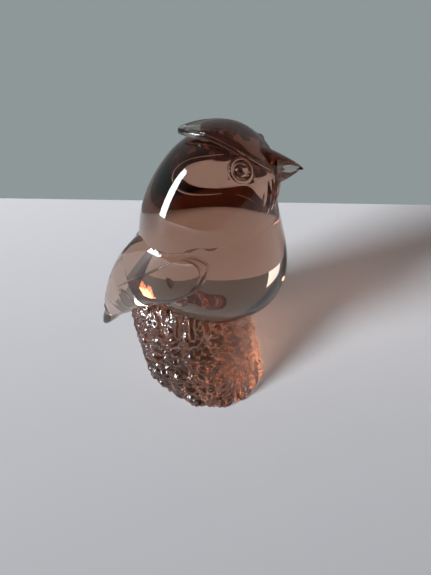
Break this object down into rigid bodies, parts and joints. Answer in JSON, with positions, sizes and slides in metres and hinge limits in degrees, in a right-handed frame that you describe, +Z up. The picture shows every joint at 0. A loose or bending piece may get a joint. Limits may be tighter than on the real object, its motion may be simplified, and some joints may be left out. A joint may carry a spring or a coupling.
{
  "type": "crystal bird figurine",
  "caption": "Solid smoky crystal ornament of a round, crested songbird perched on a rough bark stump, with folded wings and a short tail.",
  "frame": {"origin": "middle of the stump's flat underside", "axes": "+Z up, -Y the way the bird faces, +X to the bird's left"},
  "size_m": [0.0524, 0.0729, 0.0981],
  "materials": {
    "smoky_crystal": "polished solid crystal, pinkish brown and darker where it is thick",
    "thin_crystal": "polished solid crystal, nearly colourless because it is thin"
  },
  "bodies": {
    "root": {"stump": "smoky_crystal", "body": "smoky_crystal", "crest": "smoky_crystal", "crest_rim": "thin_crystal", "upper_bill": "thin_crystal", "lower_bill": "thin_crystal", "right_eye": "smoky_crystal", "left_eye": "smoky_crystal", "right_eye_ring": "thin_crystal", "left_eye_ring": "thin_crystal", "bib": "thin_crystal", "right_wing": "smoky_crystal", "left_wing": "smoky_crystal", "right_primaries": "smoky_crystal", "left_primaries": "smoky_crystal", "tail": "thin_crystal", "right_foot": "thin_crystal", "left_foot": "thin_crystal"}
  },
  "joints": []
}
